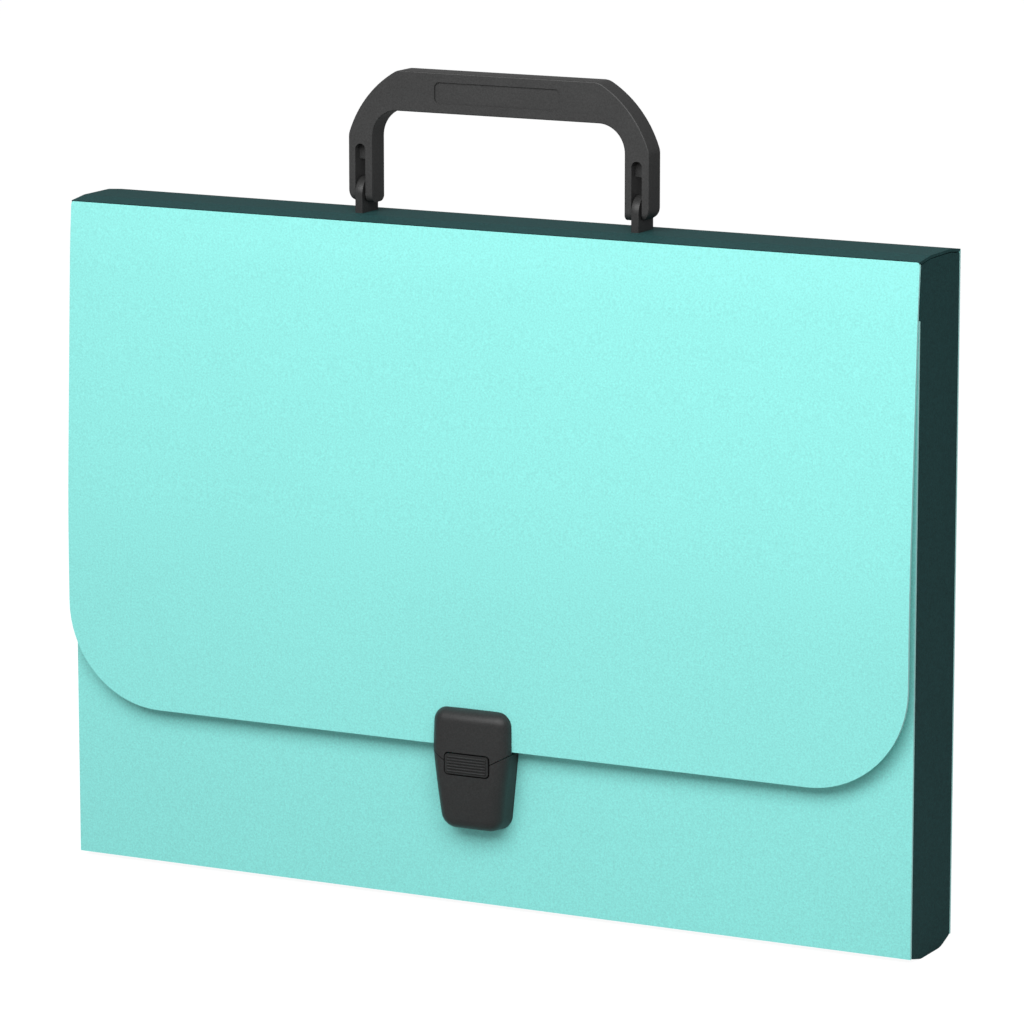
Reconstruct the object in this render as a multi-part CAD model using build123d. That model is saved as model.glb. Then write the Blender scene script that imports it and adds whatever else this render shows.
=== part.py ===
from build123d import *
import os
from math import atan2, sqrt, tan

os.makedirs("parts", exist_ok=True)

# Portfolio folder: a rigid A4 document case of plastic sheet with a flap, a carry handle and a
# push lock. Millimetres. +X is the case's right side, the front faces -Y and +Z is up.
# The origin is the middle of the flat band under the case.

# Case
case_width = 330.0
case_depth = 35.0
crease_height = 241.7          # the two top creases, above the ground
sheet = 1.0                    # every panel is cut from sheet this thick
front_wall_drop = 20.0         # the front wall ends this far below the crease
crease_gap = 0.3               # slit between two panels that fold against each other

# Bottom and top strips: a flat band between sloping shoulders
band_width = 17.0
band_knee_radius = 12.0
bottom_front_rise = 1.8        # the front wall's lower edge above the ground
bottom_back_rise = 2.8         # the back one's: its fold is rounder
bottom_flange = 16.0           # the strip's flanges reach this high inside the walls
bottom_fold_radius = 1.6
crown_rise = 1.1               # the top strip's band above its creases
gusset_flange = 12.0           # width of the flanges inside the walls
lid_gap = 0.3                  # the gussets' upper edges stay this far below the top strip

# Flap: leans out from the crease, then hangs parallel to the front wall
flap_bottom = 59.3             # its straight lower edge, above the ground
flap_corner_radius = 37.0
flap_top_corner_radius = 1.5
flap_bend_drop = 16.0          # first bend, below the crease
flap_bend_out = 1.3            # and how far out it stands
flap_knee_drop = 111.0
flap_stand_off = 5.3           # outer face of the hanging part, in front of the wall's
flap_bend_radius = 280.0
flap_knee_radius = 800.0

# Handle
handle_width = 117.2
handle_leg = 9.4
handle_depth = 9.2
handle_reach = 44.3            # the grip's top above the pivot
grip_height = 14.3
handle_corner_width = 19.6     # the outer corner's long curve, across
handle_corner_height = 23.4    # and down
handle_corner_radius = 40.0
handle_corner_softening = 6.0  # where that curve meets the grip and the leg
handle_inner_radius = 10.0
handle_edge_radius = 0.5
leg_end_radius = 4.4           # seen from the front
leg_end_side_radius = 3.0      # and from the side
leg_end_below_pivot = 3.1
pivot_rise = 6.7               # the pivot above the top strip's band
fork_slot_width = 4.0
fork_slot_above_pivot = 12.0   # the slot through the leg
fork_pocket_above_pivot = 17.7  # top of the blind pocket above the slot
fork_pocket_depth = 3.2
plate_recess_width = 49.0
plate_recess_height = 7.5
plate_recess_depth = 0.6
plate_recess_radius = 2.0

# Handle anchors: an ear through the top strip with a flange welded under it
ear_thickness = 2.8
ear_depth = 11.6
trunnion_diameter = 3.0
trunnion_reach = 1.3           # into each side of the fork
trunnion_clearance = 0.08
anchor_flange_length = 26.0
anchor_flange_width = 15.6
anchor_flange_thickness = 2.0
ear_slot_clearance = 0.15

# Lock
lock_above_flap_edge = 14.0
lock_height = 43.8
lock_width = 30.6              # at its base, above the taper
lock_foot_width = 24.8         # at its base, at the bottom
lock_face_width = 30.1         # the sides lean in towards the face
lock_face_foot_width = 21.5
lock_face_top_drop = 0.2
lock_face_bottom_rise = 0.7
lock_corner_radius = 5.2
lock_foot_corner_radius = 6.0
lock_face_radius = 5.0
lock_crown_radius = 160.0      # the face is slightly domed
lock_protrusion = 10.6         # from the front wall
lock_wall = 1.6
seam_below_flap_edge = 4.8     # at the button's sides
seam_slope = 0.55              # the seam climbs towards the lock's sides
seam_gap = 0.3
shoulder_blend = 20.0          # softens the outline where the taper starts

button_width = 17.0
button_height = 7.2
button_below_seam = 0.5
button_gap = 0.5
button_corner_radius = 1.2
button_depth = 3.6
button_ribs = 6
button_rib_height = 0.35
button_flange_overlap = 1.5
button_flange_thickness = 1.7
button_flange_play = 0.3
guide_thickness = 1.0
tooth_width = 6.0
tooth_height = 1.1
tooth_thickness = 1.5
catch_width = 10.0
catch_thickness = 1.2
catch_depth = 2.5
catch_clearance = 0.3

spring_diameter = 5.0
spring_wire = 0.5
spring_turns = 5
spring_peg_clearance = 0.3
spring_peg_length = 2.0

screw_diameter = 2.4
screw_clearance = 0.05
screw_head_diameter = 4.4
screw_head_height = 0.8
screw_slot_width = 0.6
screw_slot_depth = 0.4
boss_diameter = 5.2
backplate_thickness = 1.5
housing_screw_spread = 6.4
housing_screw_rises = (7.2, 14.0)  # above the lock's lower edge
cover_screw_spread = 8.0
cover_screw_drop = 7.0         # below the lock's upper edge
backplate_margin = 3.0

# Places worked out from the sizes above
half_width = case_width / 2
front = -case_depth / 2
back = case_depth / 2
inner_front = front + sheet
inner_back = back - sheet
front_wall_top = crease_height - front_wall_drop
crown_height = crease_height + crown_rise
crown_under = crown_height - sheet
gusset_inner = half_width - sheet
flap_face = front - flap_stand_off
flap_inner = flap_face + sheet
lock_face = front - lock_protrusion
lock_inner = lock_face + lock_wall
lock_top = flap_bottom + lock_above_flap_edge
lock_bottom = lock_top - lock_height
seam_height = flap_bottom - seam_below_flap_edge
button_centre = seam_height - button_below_seam
pivot_height = crown_height + pivot_rise
handle_top = pivot_height + handle_reach
leg_centre = handle_width / 2 - handle_leg / 2


def block(x_span, y_span, z_span):
    """A box between two x, two y and two z values."""
    low = [min(span) for span in (x_span, y_span, z_span)]
    size = [abs(span[1] - span[0]) for span in (x_span, y_span, z_span)]
    return Pos(*low) * Box(*size, align=(Align.MIN, Align.MIN, Align.MIN))


def along_x(profile, x_span):
    """Extrudes a side profile, drawn as (y, z), from one x to another."""
    low, high = min(x_span), max(x_span)
    return extrude(Plane.YZ.offset(low) * profile, amount=high - low)


def towards_front(outline, y_back, y_front):
    """Extrudes a front outline, drawn as (x, z), from its back face towards the front."""
    return extrude(Plane.XZ.offset(-y_back) * outline, amount=y_back - y_front)


def rod_x(radius, centre_yz, x_span):
    """A round bar along X."""
    low, high = min(x_span), max(x_span)
    return Pos((low + high) / 2, *centre_yz) * Rot(0, 90, 0) * Cylinder(radius, high - low)


def rod_y(radius, centre_xz, y_span):
    """A round bar along Y."""
    low, high = min(y_span), max(y_span)
    x, z = centre_xz
    return Pos(x, (low + high) / 2, z) * Rot(90, 0, 0) * Cylinder(radius, high - low)


def mirrored_pair(piece):
    """The piece and its mirror image across the case's middle."""
    return piece, mirror(piece, about=Plane.YZ)


def crease_side(y_crease, outward, hanging):
    """The side of a crease's 45 degree slit that holds the hanging or the lying panel."""
    reach = crease_height
    setback = crease_gap / sqrt(2)
    y = y_crease if hanging else y_crease - outward * setback
    z = crease_height - setback if hanging else crease_height
    upper = (y + outward * reach, z + reach)
    lower = (y - outward * reach, z - reach)
    corner = (upper[0], lower[1]) if hanging else (lower[0], upper[1])
    return make_face(Polyline(upper, lower, corner, close=True))


# Bottom strip

def bottom_path(inset):
    """The strip's path from the front flange, under the case, to the back flange."""
    knee = band_width / 2
    points = [
        (inner_front + inset, bottom_flange),
        (inner_front + inset, bottom_front_rise + inset),
        (-knee, inset),
        (knee, inset),
        (inner_back - inset, bottom_back_rise + inset),
        (inner_back - inset, bottom_flange),
    ]
    fold = bottom_fold_radius - inset
    return points, [fold, band_knee_radius, band_knee_radius, fold]


def bottom_profile(inset):
    """The open path with its folds rounded."""
    points, radii = bottom_path(inset)
    return FilletPolyline(*points, radius=radii)


def strip_between(outer, inner):
    """A face between two open paths whose ends are joined straight."""
    ends = [Line(outer @ 0, inner @ 0), Line(outer @ 1, inner @ 1)]
    return make_face(outer.edges() + inner.edges() + ends)


bottom_strip = along_x(
    strip_between(bottom_profile(0), bottom_profile(sheet)), (-gusset_inner, gusset_inner)
)

# Front and back walls

front_wall = block((-half_width, half_width), (front, inner_front), (bottom_front_rise, front_wall_top))
back_profile = make_face(
    Polyline(
        (inner_back, bottom_back_rise),
        (back, bottom_back_rise),
        (back, crease_height),
        (inner_back, crease_height),
        close=True,
    )
) & crease_side(back, 1, True)
back_wall = along_x(back_profile, (-half_width, half_width))

# Top strip: crown between the two creases


def crown_path(drop):
    """The strip's path from the front crease over the crown to the back crease."""
    knee = band_width / 2
    return FilletPolyline(
        (front, crease_height - drop),
        (-knee, crown_height - drop),
        (knee, crown_height - drop),
        (back, crease_height - drop),
        radius=[band_knee_radius, band_knee_radius],
    )


crown_profile = strip_between(crown_path(0), crown_path(sheet))
crown_profile = crown_profile & crease_side(front, -1, False) & crease_side(back, 1, False)
top_strip = along_x(crown_profile, (-half_width, half_width))
ear_slot = block(
    (
        leg_centre - ear_thickness / 2 - ear_slot_clearance,
        leg_centre + ear_thickness / 2 + ear_slot_clearance,
    ),
    (-ear_depth / 2 - ear_slot_clearance, ear_depth / 2 + ear_slot_clearance),
    (crown_under - sheet, crown_height + sheet),
)
for slot in mirrored_pair(ear_slot):
    top_strip -= slot

# Gussets: end panels with flanges welded inside the walls and onto the bottom strip

gusset_under = [(y, z) for y, z in bottom_path(0)[0][1:-1]]
gusset_base = FilletPolyline(
    (inner_front, front_wall_top),
    *gusset_under,
    (inner_back, front_wall_top),
    radius=bottom_path(0)[1],
)
shoulder_under = crease_height - sheet - lid_gap
gusset_rim = Polyline(
    gusset_base @ 1,
    (inner_back, shoulder_under),
    (band_width / 2, crown_under - lid_gap),
    (-band_width / 2, crown_under - lid_gap),
    (inner_front, shoulder_under),
    gusset_base @ 0,
)
gusset_panel = along_x(make_face(gusset_base.edges() + gusset_rim.edges()), (gusset_inner, half_width))
flange_span = (gusset_inner - gusset_flange, gusset_inner)
flange_foot = bottom_flange + crease_gap
front_flange = block(flange_span, (inner_front, inner_front + sheet), (flange_foot, front_wall_top))
back_flange = block(flange_span, (inner_back - sheet, inner_back), (flange_foot, shoulder_under))
back_slope = atan2(bottom_back_rise, inner_back - band_width / 2)
foot_half = band_width / 2 - band_knee_radius * tan(back_slope / 2) - lid_gap
foot_flange = block(flange_span, (-foot_half, foot_half), (sheet, 2 * sheet))
right_gusset, left_gusset = mirrored_pair(gusset_panel + front_flange + back_flange + foot_flange)

# Flap


def flap_path(shift):
    """The flap's path from the crease, leaning out and then hanging, moved back by shift."""
    return FilletPolyline(
        (front + shift, crease_height),
        (front - flap_bend_out + shift, crease_height - flap_bend_drop),
        (flap_face + shift, crease_height - flap_knee_drop),
        (flap_face + shift, flap_bottom),
        radius=[flap_bend_radius, flap_knee_radius],
    )


flap_profile = strip_between(flap_path(0), flap_path(sheet)) & crease_side(front, -1, True)
flap_outline = make_face(
    FilletPolyline(
        (-half_width, crease_height),
        (-half_width, flap_bottom),
        (half_width, flap_bottom),
        (half_width, crease_height),
        radius=[
            flap_top_corner_radius,
            flap_corner_radius,
            flap_corner_radius,
            flap_top_corner_radius,
        ],
        close=True,
    ).edges()
)
flap = along_x(flap_profile, (-half_width, half_width))
flap = flap & towards_front(flap_outline, 0, 2 * flap_face)

# Handle: a forked loop with long curved corners

leg_bottom = pivot_height - leg_end_below_pivot
handle_outer = handle_width / 2
handle_inner = handle_outer - handle_leg
grip_end = handle_outer - handle_corner_width
shoulder_height = handle_top - handle_corner_height
handle_opening = FilletPolyline(
    (-handle_inner, leg_bottom),
    (-handle_inner, handle_top - grip_height),
    (handle_inner, handle_top - grip_height),
    (handle_inner, leg_bottom),
    radius=handle_inner_radius,
)
handle_rim = [
    Line((-handle_inner, leg_bottom), (-handle_outer, leg_bottom)),
    Line((-handle_outer, leg_bottom), (-handle_outer, shoulder_height)),
    RadiusArc((-handle_outer, shoulder_height), (-grip_end, handle_top), handle_corner_radius),
    Line((-grip_end, handle_top), (grip_end, handle_top)),
    RadiusArc((grip_end, handle_top), (handle_outer, shoulder_height), handle_corner_radius),
    Line((handle_outer, shoulder_height), (handle_outer, leg_bottom)),
    Line((handle_outer, leg_bottom), (handle_inner, leg_bottom)),
]
handle_outline = make_face(handle_opening.edges() + handle_rim)


def corners_at(outline, height):
    """The outline's corners at one height."""
    return [corner for corner in outline.vertices() if abs(corner.Y - height) < crease_gap]


for height in (shoulder_height, handle_top):
    handle_outline = fillet(corners_at(handle_outline, height), handle_corner_softening)
leg_ends = [corner for corner in corners_at(handle_outline, leg_bottom) if abs(corner.X) > leg_centre]
handle_outline = fillet(leg_ends, leg_end_radius)
handle_half = handle_depth / 2
handle = towards_front(handle_outline, handle_half, -handle_half)
rims = handle.edges().group_by(Axis.Y)
handle = fillet(rims[0] + rims[-1], handle_edge_radius)
leg_side = make_face(
    FilletPolyline(
        (-handle_half, handle_top),
        (-handle_half, leg_bottom),
        (handle_half, leg_bottom),
        (handle_half, handle_top),
        radius=[0, leg_end_side_radius, leg_end_side_radius, 0],
        close=True,
    ).edges()
)
handle = handle & along_x(leg_side, (-handle_outer, handle_outer))

slot_top = pivot_height + fork_slot_above_pivot
pocket_top = pivot_height + fork_pocket_above_pivot
half_slot = fork_slot_width / 2
fork_slot = block(
    (leg_centre - half_slot, leg_centre + half_slot), (-handle_depth, handle_depth), (leg_bottom - 1, slot_top)
)
pocket_straight = pocket_top - half_slot
pocket_outline = Pos(leg_centre, (slot_top + pocket_straight) / 2) * Rectangle(
    fork_slot_width, pocket_straight - slot_top
)
pocket_outline += Pos(leg_centre, pocket_straight) * Circle(half_slot)
front_pocket = towards_front(pocket_outline, -handle_half + fork_pocket_depth, -handle_depth)
back_pocket = mirror(front_pocket, about=Plane.XZ)
trunnion_radius = trunnion_diameter / 2
trunnion_half_span = half_slot + trunnion_reach
socket_span = (
    leg_centre - trunnion_half_span - trunnion_clearance,
    leg_centre + trunnion_half_span + trunnion_clearance,
)
socket = rod_x(trunnion_radius + trunnion_clearance, (0, pivot_height), socket_span)
for cutter in (fork_slot, front_pocket, back_pocket, socket):
    for side in mirrored_pair(cutter):
        handle -= side
recess_outline = Pos(0, handle_top - grip_height / 2) * RectangleRounded(
    plate_recess_width, plate_recess_height, plate_recess_radius
)
handle -= towards_front(recess_outline, -handle_half + plate_recess_depth, -handle_depth)

# Handle anchors

anchor_flange = block(
    (leg_centre - anchor_flange_length / 2, leg_centre + anchor_flange_length / 2),
    (-anchor_flange_width / 2, anchor_flange_width / 2),
    (crown_under - anchor_flange_thickness, crown_under),
)
ear_side = Pos(0, pivot_height) * Circle(ear_depth / 2)
ear_side += Pos(0, (pivot_height + crown_under) / 2) * Rectangle(ear_depth, pivot_height - crown_under)
ear = along_x(ear_side, (leg_centre - ear_thickness / 2, leg_centre + ear_thickness / 2))
trunnions = rod_x(
    trunnion_radius,
    (0, pivot_height),
    (leg_centre - trunnion_half_span, leg_centre + trunnion_half_span),
)
right_handle_anchor, left_handle_anchor = mirrored_pair(anchor_flange + ear + trunnions)

# Lock shell: one rounded body, hollowed, then parted at the seam

def lock_outline(y, inset, top, bottom, width, foot_width):
    """The lock's front outline at one depth: straight sides that taper below the shoulders."""
    half = width / 2 - inset
    foot_half_width = foot_width / 2 - inset
    shoulder = seam_height + seam_slope * (lock_width / 2 - button_width / 2)
    corner = lock_corner_radius - inset
    foot_corner = lock_foot_corner_radius - inset
    path = FilletPolyline(
        (-half, top - inset),
        (-half, shoulder),
        (-foot_half_width, bottom + inset),
        (foot_half_width, bottom + inset),
        (half, shoulder),
        (half, top - inset),
        radius=[corner, shoulder_blend, foot_corner, foot_corner, shoulder_blend, corner],
        close=True,
    )
    return Plane.XZ.offset(-y) * make_face(path.edges())


def lock_body(inset):
    """The lock's whole outside, or its hollow at a wall's inset: leaning sides, a domed face."""
    base = lock_outline(front, inset, lock_top, lock_bottom, lock_width, lock_foot_width)
    face = lock_outline(
        lock_face + inset,
        inset,
        lock_top - lock_face_top_drop,
        lock_bottom + lock_face_bottom_rise,
        lock_face_width,
        lock_face_foot_width,
    )
    dome_centre = Pos(0, lock_face + lock_crown_radius, (lock_top + lock_bottom) / 2)
    body = loft([base, face], ruled=True) & dome_centre * Sphere(lock_crown_radius - inset)
    return fillet(body.faces().sort_by(Axis.Y)[0].edges(), lock_face_radius - inset)


def above_seam(raise_by):
    """Everything above the seam, which climbs on both sides of the button."""
    reach = lock_width
    inner = button_width / 2
    low = seam_height + raise_by
    high = low + seam_slope * (reach - inner)
    points = [(-reach, high), (-inner, low), (inner, low), (reach, high), (reach, 2 * high), (-reach, 2 * high)]
    return towards_front(make_face(Polyline(*points, close=True)), 0, 2 * lock_face)


def button_outline(grow):
    """The button's rounded front outline, or its opening when grown by the gap."""
    return Pos(0, button_centre) * RectangleRounded(
        button_width + 2 * grow, button_height + 2 * grow, button_corner_radius + grow
    )


lock_shell = lock_body(0) - lock_body(lock_wall)
button_opening = towards_front(button_outline(button_gap), lock_inner + sheet, 2 * lock_face)
lock_shell -= button_opening
hollow = lock_body(lock_wall)


def bosses(places, y_back):
    """Screw bosses from the lock's front wall back to the sheet that they stand on."""
    posts = [rod_y(boss_diameter / 2, place, (lock_inner, y_back)) for place in places]
    return (Part() + posts) & lock_body(lock_wall / 2)


def screws(places, y_tip, y_seat):
    """Screws with slotted pan heads; the heads sit behind y_seat."""
    made = []
    for place in places:
        shank = rod_y(screw_diameter / 2, place, (y_tip, y_seat))
        head = rod_y(screw_head_diameter / 2, place, (y_seat, y_seat + screw_head_height))
        x, z = place
        slot = block(
            (x - screw_head_diameter, x + screw_head_diameter),
            (y_seat + screw_head_height - screw_slot_depth, y_seat + 2 * screw_head_height),
            (z - screw_slot_width / 2, z + screw_slot_width / 2),
        )
        made.append(shank + head - slot)
    return made


def screw_holes(places, y_span):
    """Clearance holes for the screws."""
    return [rod_y(screw_diameter / 2 + screw_clearance, place, y_span) for place in places]


def backplate(places, y_seat):
    """A plate that spreads the screws' pull over the sheet, between y_seat and its own back."""
    across = [place[0] for place in places]
    up = [place[1] for place in places]
    plate = block(
        (min(across) - backplate_margin, max(across) + backplate_margin),
        (y_seat, y_seat + backplate_thickness),
        (min(up) - backplate_margin, max(up) + backplate_margin),
    )
    return fillet(plate.edges().filter_by(Axis.Y), backplate_margin / 2)


# Lock housing: the lower half, screwed to the front wall

housing_places = [
    (side * housing_screw_spread, lock_bottom + rise) for side in (-1, 1) for rise in housing_screw_rises
]
screw_tip = lock_inner + sheet
lock_housing = lock_shell - above_seam(0)
button_flange_half = button_width / 2 + button_flange_overlap
button_flange_bottom = button_centre - button_height / 2 - button_flange_overlap
guide_span = (
    button_flange_half + button_flange_play,
    button_flange_half + button_flange_play + guide_thickness,
)
guide_top = seam_height - seam_gap
guide = block(guide_span, (lock_inner, front), (button_flange_bottom - guide_thickness, guide_top))
ledge = block(
    (-guide_span[1], guide_span[1]),
    (lock_inner, front),
    (
        button_flange_bottom - button_flange_play - guide_thickness,
        button_flange_bottom - button_flange_play,
    ),
)
for rib in (*mirrored_pair(guide), ledge):
    lock_housing += rib
lock_housing += bosses(housing_places, front)
for hole in screw_holes(housing_places, (screw_tip, front)):
    lock_housing -= hole
housing_screws = screws(housing_places, screw_tip, inner_front + backplate_thickness)
lock_backplate = backplate(housing_places, inner_front)
for hole in screw_holes(housing_places, (front - sheet, front + handle_depth)):
    front_wall -= hole
    lock_backplate -= hole

# Lock cover: the upper half, screwed to the flap

cover_places = [(side * cover_screw_spread, lock_top - cover_screw_drop) for side in (-1, 1)]
behind_flap_face = block((-lock_width, lock_width), (flap_face, 0), (0, crease_height))
lock_cover = (lock_shell & above_seam(seam_gap)) - behind_flap_face
tooth_top = button_centre + button_height / 2 + tooth_height
catch = block(
    (-catch_width / 2, catch_width / 2),
    (lock_inner, lock_inner + catch_depth),
    (tooth_top + catch_clearance, tooth_top + catch_clearance + catch_thickness),
)
lock_cover += catch
lock_cover += bosses(cover_places, flap_face)
for hole in screw_holes(cover_places, (screw_tip, flap_face)):
    lock_cover -= hole
cover_screws = screws(cover_places, screw_tip, flap_inner + backplate_thickness)
cover_backplate = backplate(cover_places, flap_inner)
for hole in screw_holes(cover_places, (flap_face - sheet, 0)):
    flap -= hole
    cover_backplate -= hole

# Release button, ribbed, with a flange that keeps it in and a tooth for the catch

button_back = lock_face + button_depth
release_button = towards_front(button_outline(0), button_back, lock_face)
rib_pitch = button_height / (button_ribs + 1)
rib_length = button_width - 2 * rib_pitch
for number in range(button_ribs):
    rib_height = button_centre + rib_pitch * (number - (button_ribs - 1) / 2)
    ridge = rod_x(button_rib_height, (lock_face, rib_height), (-rib_length / 2, rib_length / 2))
    release_button += ridge
flange_front = button_back - button_flange_thickness
release_button += block(
    (-button_flange_half, button_flange_half),
    (flange_front + button_flange_play, button_back),
    (button_flange_bottom, guide_top - seam_gap),
)
release_button += block(
    (-tooth_width / 2, tooth_width / 2), (button_back - tooth_thickness, button_back), (button_centre, tooth_top)
)
peg_radius = spring_diameter / 2 - spring_wire - spring_peg_clearance
release_button += rod_y(peg_radius, (0, button_centre), (button_back, button_back + spring_peg_length))

# Button spring: an open coil between the button's back and the front wall

spring_length = front - button_back
coil_radius = spring_diameter / 2 - spring_wire / 2
coil_length = spring_length - spring_wire
coil_pitch = coil_length / spring_turns
helix = Helix(pitch=coil_pitch, height=coil_length, radius=coil_radius)
coil = sweep(Plane(helix @ 0, z_dir=helix % 0) * Circle(spring_wire / 2), path=helix)
seats = [
    Pos(0, 0, end) * Torus(coil_radius, spring_wire / 2)
    for end in (0, coil_length)
]
button_spring = coil + seats
button_spring = Pos(0, button_back + spring_wire / 2, button_centre) * Rot(-90, 0, 0) * button_spring

# One file for each piece

pieces = {
    "front_wall": front_wall,
    "back_wall": back_wall,
    "bottom_strip": bottom_strip,
    "left_gusset": left_gusset,
    "right_gusset": right_gusset,
    "top_strip": top_strip,
    "flap": flap,
    "handle": handle,
    "left_handle_anchor": left_handle_anchor,
    "right_handle_anchor": right_handle_anchor,
    "lock_housing": lock_housing,
    "lock_backplate": lock_backplate,
    "housing_screws": Compound(children=housing_screws),
    "lock_cover": lock_cover,
    "cover_backplate": cover_backplate,
    "cover_screws": Compound(children=cover_screws),
    "release_button": release_button,
    "button_spring": button_spring,
}
for name, piece in pieces.items():
    export_step(piece, f"parts/{name}.step")
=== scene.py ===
import math

import bpy
from mathutils import Euler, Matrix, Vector


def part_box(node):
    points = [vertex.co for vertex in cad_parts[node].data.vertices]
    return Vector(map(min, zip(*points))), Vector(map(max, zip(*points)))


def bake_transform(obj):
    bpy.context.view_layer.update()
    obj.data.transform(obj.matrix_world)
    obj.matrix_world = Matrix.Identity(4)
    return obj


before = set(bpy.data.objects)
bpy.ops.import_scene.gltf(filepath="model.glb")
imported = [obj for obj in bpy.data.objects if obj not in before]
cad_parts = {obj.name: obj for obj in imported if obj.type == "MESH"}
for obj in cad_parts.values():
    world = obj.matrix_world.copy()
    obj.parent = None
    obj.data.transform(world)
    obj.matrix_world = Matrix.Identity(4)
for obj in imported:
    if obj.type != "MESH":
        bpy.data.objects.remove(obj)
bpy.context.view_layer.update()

# Camera. A long lens, to the right of the front and a little above, as in the photograph. The
# turn and the tilt are in degrees, the lens and the width of its sensor in millimetres.
camera_place = (0.8993, -1.7433, 0.5191)
camera_turn = 27.194
camera_tilt = 10.951
camera_lens = 199.87
camera_sensor = 36.0
camera_data = bpy.data.cameras.new("camera")
camera_data.lens = camera_lens
camera_data.sensor_width = camera_sensor
camera = bpy.data.objects.new("camera", camera_data)
camera.location = camera_place
camera.rotation_euler = Euler((math.radians(90 - camera_tilt), 0, math.radians(camera_turn)))
bpy.context.collection.objects.link(camera)
bpy.context.scene.camera = camera
bpy.context.scene.view_settings.view_transform = "Standard"


# Studio. A floor that shows white and takes a soft shadow, a pale surround, and one wide soft
# lamp above the front, so that the front fades from its top to its foot.
class Tone:
    """A socket of a node tree. Sums on tones add Math nodes, and node() adds any other node."""

    def __init__(self, tree, socket=None):
        self.tree = tree
        self.socket = socket

    def node(self, kind, settings=None, sockets=None, out=0):
        """Makes a node: its settings come first, then each socket gets a value or a link."""
        made = self.tree.nodes.new(kind)
        for name, value in (settings or {}).items():
            if name == "stops":
                for stop, (place, shade) in zip(made.color_ramp.elements, value):
                    stop.position = place
                    stop.color = (shade, shade, shade, 1)
            else:
                setattr(made, name, value)
        for name, value in (sockets or {}).items():
            if isinstance(value, Tone):
                self.tree.links.new(value.socket, made.inputs[name])
            else:
                made.inputs[name].default_value = value
        return Tone(self.tree, made.outputs[out] if made.outputs else None)

    def maths(self, operation, first, second=0.0):
        """A Math node on two tones or numbers."""
        return self.node("ShaderNodeMath", {"operation": operation}, {0: first, 1: second})

    def times(self, colour, strength):
        """A colour made lighter or darker by a tone."""
        return self.node("ShaderNodeVectorMath", {"operation": "MULTIPLY"}, {0: colour, 1: strength})

    def blend(self, share, first, second):
        """A mix of two colours. Mix keeps its colours at inputs 6 and 7 and at output 2."""
        return self.node("ShaderNodeMix", {"data_type": "RGBA"}, {0: share, 6: first, 7: second}, 2)

    def __add__(self, other):
        return self.maths("ADD", self, other)

    def __sub__(self, other):
        return self.maths("SUBTRACT", self, other)

    def __rsub__(self, other):
        return self.maths("SUBTRACT", other, self)

    def __mul__(self, other):
        return self.maths("MULTIPLY", self, other)

    __radd__ = __add__
    __rmul__ = __mul__


def new_material(name):
    """An empty material and the tone that starts its shader."""
    material = bpy.data.materials.new(name)
    material.use_nodes = True
    material.node_tree.nodes.clear()
    return material, Tone(material.node_tree)


floor_width = 30.0
floor_grey = (0.4, 0.4, 0.4, 1)
floor_glow = 1.9
floor_shadow = 0.5
bpy.ops.mesh.primitive_plane_add(size=floor_width)
floor = bpy.context.object
floor.name = "floor"
floor_material, tone = new_material("pale_floor")
# To the camera the floor is half lit surface, which keeps the shadow, and half white glow.
camera_ray = tone.node("ShaderNodeLightPath", out="Is Camera Ray")
lit = tone.node("ShaderNodeBsdfDiffuse", sockets={"Color": floor_grey})
glow = tone.node("ShaderNodeEmission", sockets={"Strength": floor_glow})
glow_share = camera_ray * (1 - floor_shadow)
shown = tone.node("ShaderNodeMixShader", sockets={0: glow_share, 1: lit, 2: glow})
tone.node("ShaderNodeOutputMaterial", sockets={"Surface": shown})
floor.data.materials.append(floor_material)

surround_grey = (0.8, 0.8, 0.8, 1)
surround_light = 0.34
world = bpy.data.worlds.new("surround")
world.use_nodes = True
world.node_tree.nodes.clear()
tone = Tone(world.node_tree)
# The camera sees the surround in full, also through clear things. It lights the case less.
camera_ray = tone.node("ShaderNodeLightPath", out="Is Camera Ray")
clear_ray = tone.node("ShaderNodeLightPath", out="Is Transmission Ray")
seen = tone.maths("MAXIMUM", camera_ray, clear_ray)
strength = surround_light + seen * (1 - surround_light)
surround = tone.node("ShaderNodeBackground", sockets={"Color": surround_grey, "Strength": strength})
tone.node("ShaderNodeOutputWorld", sockets={"Surface": surround})
bpy.context.scene.world = world

lamp_width = 1.5
lamp_depth = 0.6
lamp_power = 13.8
lamp_place = (0.12, -0.75, 0.78)
lamp_aim = (0, 0, 0.14)
lamp_data = bpy.data.lights.new("front_lamp", "AREA")
lamp_data.shape = "RECTANGLE"
lamp_data.size = lamp_width
lamp_data.size_y = lamp_depth
lamp_data.energy = lamp_power
lamp = bpy.data.objects.new("front_lamp", lamp_data)
lamp.location = lamp_place
lamp.rotation_euler = (Vector(lamp_aim) - lamp.location).to_track_quat("-Z", "Y").to_euler()
bpy.context.collection.objects.link(lamp)

# Front and back walls. Mint polypropylene sheet, 1 mm thick, with a fine sand grain from the
# calender roll. Each is cut with knives and welded to the gussets. Its cut edges are painted a
# paler mint, as a painted highlight where their rims catch the light.
mint = (0.262, 0.762, 0.716)
# A paler mint painted on the cut edges: a painted highlight, not a colour of the sheet.
mint_edge_highlight = (0.50, 0.95, 0.92, 1)
mint_shine = 0.5
mint_contrast = 1.0
sand_per_metre = 2600.0
sand_detail = 1.0
sand_shade = 0.2
sand_height = 0.5
grain_per_metre = 1500.0
grain_detail = 2.0
grain_shade = 0.36
cloud_per_metre = 14.0
cloud_detail = 2.0
cloud_shade = 0.05
sheet_roughness = 0.56
sheet_roughness_change = 0.2
sheet_bump_depth = 0.00005
sheet_bump_strength = 0.5
edge_highlight_stops = ((0.75, 0.0), (0.9, 1.0))


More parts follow.
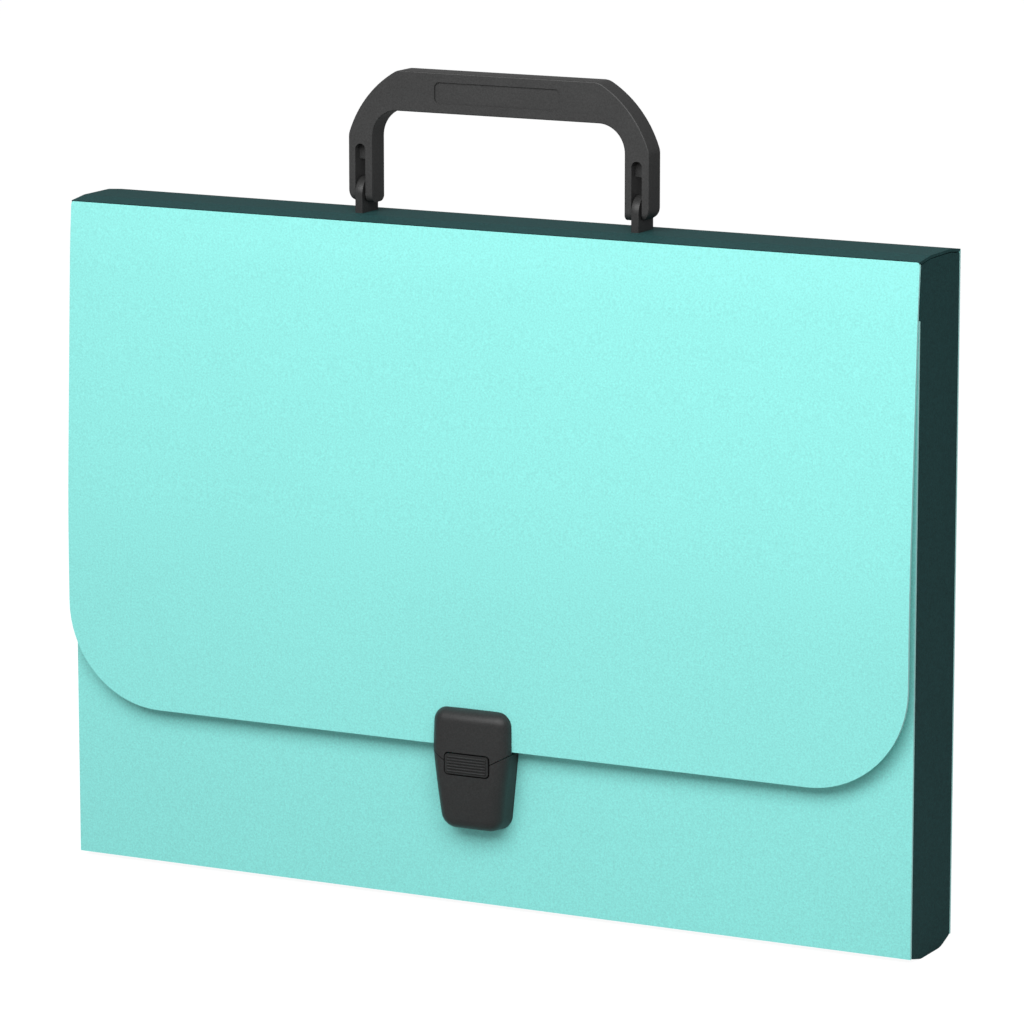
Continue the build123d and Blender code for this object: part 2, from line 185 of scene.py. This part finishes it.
def mottle(tone, spots_per_metre, detail):
    """A cloudy pattern fixed to the piece, whose values lie evenly round zero."""
    place = tone.node("ShaderNodeTexCoord", out="Object")
    sockets = {"Vector": place, "Scale": spots_per_metre, "Detail": detail}
    return tone.node("ShaderNodeTexNoise", sockets=sockets) - 0.5


def lay_finish(tone, sockets):
    """Ends a material: its shader, with these values and tones on its sockets."""
    shader = tone.node("ShaderNodeBsdfPrincipled", sockets=sockets)
    tone.node("ShaderNodeOutputMaterial", sockets={"Surface": shader})


def sheet_finish(name, colour, shine, contrast, painted_highlight=None):
    """Calendered sheet: a sand grain and faint clouds, and a painted highlight on its cut edges."""
    material, tone = new_material(name)
    sand = mottle(tone, sand_per_metre, sand_detail)
    grain = mottle(tone, grain_per_metre, grain_detail)
    cloud = mottle(tone, cloud_per_metre, cloud_detail)
    shade = 1 + (grain * grain_shade + sand * sand_shade) * contrast + cloud * cloud_shade
    face = tone.times(colour, shade)
    # Painted highlight: faces that look sideways along the case, its cut edges, blend towards the
    # paler colour.
    if painted_highlight:
        facing = tone.node("ShaderNodeNewGeometry", out="Normal")
        across = tone.node("ShaderNodeSeparateXYZ", sockets={"Vector": facing}, out="X")
        sideways = tone.maths("ABSOLUTE", across)
        highlight_share = tone.node("ShaderNodeValToRGB", {"stops": edge_highlight_stops}, {"Fac": sideways})
        face = tone.blend(highlight_share, face, painted_highlight)
    relief = {
        "Height": grain + sand * sand_height,
        "Distance": sheet_bump_depth,
        "Strength": sheet_bump_strength,
    }
    finish = {
        "Base Color": face,
        "Roughness": sheet_roughness + grain * sheet_roughness_change,
        "Specular IOR Level": shine,
        "Normal": tone.node("ShaderNodeBump", sockets=relief),
    }
    lay_finish(tone, finish)
    return material


def dress(node, material):
    """Gives a piece its finish."""
    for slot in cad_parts[node].material_slots:
        slot.material = material


mint_sheet = sheet_finish("mint_sheet", mint, mint_shine, mint_contrast, mint_edge_highlight)
for wall in ("front_wall", "back_wall"):
    dress(wall, mint_sheet)

# Bottom strip and gussets. The same grained sheet in dark teal, on which the grain shows more.
# They are creased hot along their folds and welded inside the walls by their flanges.
dark_teal = (0.0230, 0.0725, 0.0735)
dark_teal_shine = 0.06
dark_teal_contrast = 3.5
dark_teal_sheet = sheet_finish("dark_teal_sheet", dark_teal, dark_teal_shine, dark_teal_contrast)
for strip in ("bottom_strip", "left_gusset", "right_gusset"):
    dress(strip, dark_teal_sheet)

# Top strip. A band of the dark teal sheet with a flat crown between two sloping shoulders. It
# hangs on the back wall by a crease, carries the flap by another and has slots for the anchors.
dress("top_strip", dark_teal_sheet)

# Flap. One mint sheet, cut with two large round corners. It hangs from the top strip's front
# crease, bows out over the front wall and carries the lock's cover.
dress("flap", mint_sheet)

# Crease films. At a crease the sheet is pressed thin so that it folds. These two films of dark
# teal run along the top's front and back corners, close the slits there and curve round those
# corners. They lie just under the panels' faces.
film_thickness = 0.0003
film_depth = 0.00012
film_reach = 0.0012
film_bend = 0.0004
film_least_bend = 0.00002
film_turns = 6
case_half_width, back_face, crease_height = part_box("back_wall")[1]
film_half_length = case_half_width - film_depth


def film_line(depth):
    """The film's outer or inner line round the corner, as (in from the face, down from the top)."""
    bend = max(film_bend - depth, film_least_bend)
    line = [(depth, film_reach)]
    for turn in range(film_turns + 1):
        angle = math.pi / 2 * turn / film_turns
        line.append((depth + bend * (1 - math.cos(angle)), depth + bend * (1 - math.sin(angle))))
    line.append((film_reach, depth))
    return line


def crease_film(name, face, inwards):
    """One film along a top corner, bending between the hanging panel and the top strip."""
    section = film_line(film_depth) + film_line(film_depth + film_thickness)[::-1]
    count = len(section)
    points = [
        (end * film_half_length, face + inwards * across, crease_height - down)
        for end in (-1, 1)
        for across, down in section
    ]
    faces = [(i, (i + 1) % count, count + (i + 1) % count, count + i) for i in range(count)]
    # Both ends are closed by strips of quads between the outer and the inner line.
    for end in (0, count):
        for i in range(count // 2 - 1):
            quad = (end + i, end + i + 1, end + count - 2 - i, end + count - 1 - i)
            faces.append(quad if end else quad[::-1])
    # The front film is the back one mirrored, so its corners run the other way to face outwards.
    faces = [corners[::-inwards] for corners in faces]
    mesh = bpy.data.meshes.new(name)
    mesh.from_pydata(points, [], faces)
    mesh.materials.append(dark_teal_sheet)
    film = bpy.data.objects.new(name, mesh)
    bpy.context.collection.objects.link(film)
    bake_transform(film)


crease_film("front_crease_film", -back_face, 1)
crease_film("back_crease_film", back_face, -1)

# Handle anchors. Black moulded ears with a pin on each side that the handle's forks clip onto;
# each is pushed up through a slot in the top strip and welded under it by its flange. The mould
# leaves their edges slightly round.
anchor_black = (0.030, 0.030, 0.030)
anchor_shine = 0.35
anchor_edge_radius = 0.0003
anchor_edge_segments = 2
anchor_edge_angle = 40
anchor_join_reach = 1e-6
spark_per_metre = 1700.0
spark_detail = 1.0
spark_shade = 0.8
flow_per_metre = 110.0
flow_detail = 2.0
flow_shade = 0.12
moulding_roughness = 0.42
moulding_roughness_change = 0.12
moulding_bump_depth = 0.00002
moulding_bump_strength = 0.4


def moulding_finish(name, black, shine):
    """Satin black moulding: a very fine spark eroded grain and faint clouds where it flowed."""
    material, tone = new_material(name)
    spark = mottle(tone, spark_per_metre, spark_detail)
    flow = mottle(tone, flow_per_metre, flow_detail)
    relief = {
        "Height": spark,
        "Distance": moulding_bump_depth,
        "Strength": moulding_bump_strength,
    }
    finish = {
        "Base Color": tone.times(black, 1 + flow * flow_shade + spark * spark_shade),
        "Roughness": moulding_roughness + flow * moulding_roughness_change,
        "Specular IOR Level": shine,
        "Normal": tone.node("ShaderNodeBump", sockets=relief),
    }
    lay_finish(tone, finish)
    return material


anchor_moulding = moulding_finish("anchor_moulding", anchor_black, anchor_shine)
for anchor in ("left_handle_anchor", "right_handle_anchor"):
    dress(anchor, anchor_moulding)
    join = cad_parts[anchor].modifiers.new("join_faces", "WELD")
    join.merge_threshold = anchor_join_reach
    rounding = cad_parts[anchor].modifiers.new("round_edges", "BEVEL")
    rounding.width = anchor_edge_radius
    rounding.segments = anchor_edge_segments
    rounding.limit_method = "ANGLE"
    rounding.angle_limit = math.radians(anchor_edge_angle)

# Handle. One thick black moulding with forked legs that clip onto the anchors' pins and swing
# on them. It has a bare shallow recess on its front, and is a little paler than the lock.
handle_black = (0.039, 0.039, 0.039)
handle_shine = 0.35
dress("handle", moulding_finish("handle_moulding", handle_black, handle_shine))

# Lock. A housing on the front wall and a cover on the flap, both thin domed shells of black
# plastic. Each is held by screws that run through the sheet from a moulded backplate inside.
lock_black = (0.027, 0.027, 0.027)
lock_shine = 0.3
lock_moulding = moulding_finish("lock_moulding", lock_black, lock_shine)
for part in ("lock_housing", "lock_cover", "lock_backplate", "cover_backplate"):
    dress(part, lock_moulding)

# Release button. A ribbed black key between the lock's two shells, moulded a little darker than
# they are. It slides inwards on its spring, and then its tooth lets go of the cover's catch.
button_black = (0.022, 0.022, 0.022)
button_shine = 0.3
dress("release_button", moulding_finish("button_moulding", button_black, button_shine))

# Screws and spring. Steel, zinc plated, with an uneven gloss. The pan head screws hold the
# lock's shells from inside; the coil stands between the button's back and the front wall.
zinc = (0.62, 0.62, 0.60, 1)
zinc_roughness = 0.32
zinc_roughness_change = 0.2
plating_per_metre = 900.0
plating_detail = 2.0
zinc_steel, tone = new_material("zinc_steel")
plating = mottle(tone, plating_per_metre, plating_detail)
gloss = zinc_roughness + plating * zinc_roughness_change
lay_finish(tone, {"Base Color": zinc, "Metallic": 1.0, "Roughness": gloss})
for fixing in ("housing_screws", "cover_screws", "button_spring"):
    dress(fixing, zinc_steel)
